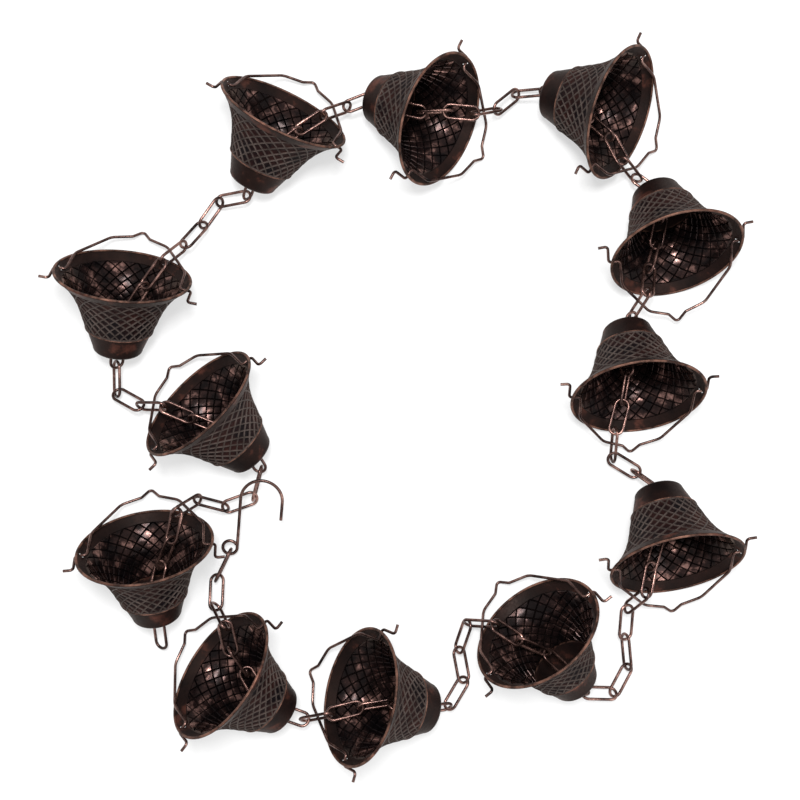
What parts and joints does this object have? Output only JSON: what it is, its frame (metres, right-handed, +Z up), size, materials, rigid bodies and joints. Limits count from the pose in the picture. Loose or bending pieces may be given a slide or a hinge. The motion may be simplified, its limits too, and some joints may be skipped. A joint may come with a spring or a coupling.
{
  "type": "rain chain",
  "caption": "Rain chain of flared waffle-textured metal cups on wire bails, strung along oval links below a hook, laid in an open ring; it leads roof water down.",
  "frame": {"origin": "middle of the laid ring's box, on the surface that it lies on", "axes": "+Z up; +Y along the ring's longer side"},
  "size_m": [0.4362, 0.4558, 0.0739],
  "materials": {
    "cup": "dark oil-rubbed bronze over iron, with rubbed ridges",
    "bail": "dark oil-rubbed bronze over iron, worn on the bends",
    "link": "dark oil-rubbed bronze over iron, worn on the crowns",
    "hanger": "dark oil-rubbed bronze over iron"
  },
  "bodies": {
    "root": {"cup_01": "cup", "cup_02": "cup", "cup_03": "cup", "cup_04": "cup", "cup_05": "cup", "cup_06": "cup", "cup_07": "cup", "cup_08": "cup", "cup_09": "cup", "cup_10": "cup", "cup_11": "cup", "cup_12": "cup", "links_00": "link", "links_01": "link", "links_02": "link", "links_03": "link", "links_04": "link", "links_05": "link", "links_06": "link", "links_07": "link", "links_08": "link", "links_09": "link", "links_10": "link", "links_11": "link", "links_12": "link"},
    "hanger": {"hanger": "hanger"},
    "bail_01": {"bail_01": "bail"},
    "bail_02": {"bail_02": "bail"},
    "bail_03": {"bail_03": "bail"},
    "bail_04": {"bail_04": "bail"},
    "bail_05": {"bail_05": "bail"},
    "bail_06": {"bail_06": "bail"},
    "bail_07": {"bail_07": "bail"},
    "bail_08": {"bail_08": "bail"},
    "bail_09": {"bail_09": "bail"},
    "bail_10": {"bail_10": "bail"},
    "bail_11": {"bail_11": "bail"},
    "bail_12": {"bail_12": "bail"}
  },
  "joints": [
    {"name": "bail_01_swing", "type": "hinge", "parent": "root", "child": "bail_01", "pos_m": [-0.10591, -0.16587, 0.0359], "axis": [0.6157, 0.788, 0], "range_deg": [0, 6]},
    {"name": "bail_02_swing", "type": "hinge", "parent": "root", "child": "bail_02", "pos_m": [-0.02139, -0.17885, 0.0359], "axis": [0.2756, 0.9613, 0], "range_deg": [0, 6]},
    {"name": "bail_03_swing", "type": "hinge", "parent": "root", "child": "bail_03", "pos_m": [0.08558, -0.14138, 0.0359], "axis": [0.788, 0.6157, 0], "range_deg": [0, 6]},
    {"name": "bail_04_swing", "type": "hinge", "parent": "root", "child": "bail_04", "pos_m": [0.17033, -0.09708, 0.0359], "axis": [-0.9903, -0.1392, 0], "range_deg": [0, 5.5]},
    {"name": "bail_05_swing", "type": "hinge", "parent": "root", "child": "bail_05", "pos_m": [0.14739, 0.00494, 0.0359], "axis": [-0.9986, -0.0523, 0], "range_deg": [0, 5]},
    {"name": "bail_06_swing", "type": "hinge", "parent": "root", "child": "bail_06", "pos_m": [0.17172, 0.0934, 0.0359], "axis": [-0.9848, -0.1736, 0], "range_deg": [0, 6]},
    {"name": "bail_07_swing", "type": "hinge", "parent": "root", "child": "bail_07", "pos_m": [0.13604, 0.18023, 0.0359], "axis": [-0.4226, -0.9063, 0], "range_deg": [0, 6]},
    {"name": "bail_08_swing", "type": "hinge", "parent": "root", "child": "bail_08", "pos_m": [0.02399, 0.17542, 0.0359], "axis": [-0.454, -0.891, 0], "range_deg": [0, 6]},
    {"name": "bail_09_swing", "type": "hinge", "parent": "root", "child": "bail_09", "pos_m": [-0.07155, 0.17719, 0.0359], "axis": [0.866, -0.5, 0], "range_deg": [0, 6]},
    {"name": "bail_10_swing", "type": "hinge", "parent": "root", "child": "bail_10", "pos_m": [-0.16878, 0.07503, 0.0359], "axis": [0.9848, -0.1736, 0], "range_deg": [0, 6]},
    {"name": "bail_11_swing", "type": "hinge", "parent": "root", "child": "bail_11", "pos_m": [-0.12069, -0.00217, 0.0359], "axis": [0.7193, 0.6947, 0], "range_deg": [0, 6]},
    {"name": "bail_12_swing", "type": "hinge", "parent": "root", "child": "bail_12", "pos_m": [-0.1534, -0.09, 0.0359], "axis": [0.9962, 0.0872, 0], "range_deg": [0, 6]},
    {"name": "hanger_swing", "type": "hinge", "parent": "root", "child": "hanger", "pos_m": [-0.1061, -0.09484, 0.00461], "axis": [0.9945, -0.1045, 0], "range_deg": [0, 70]}
  ]
}
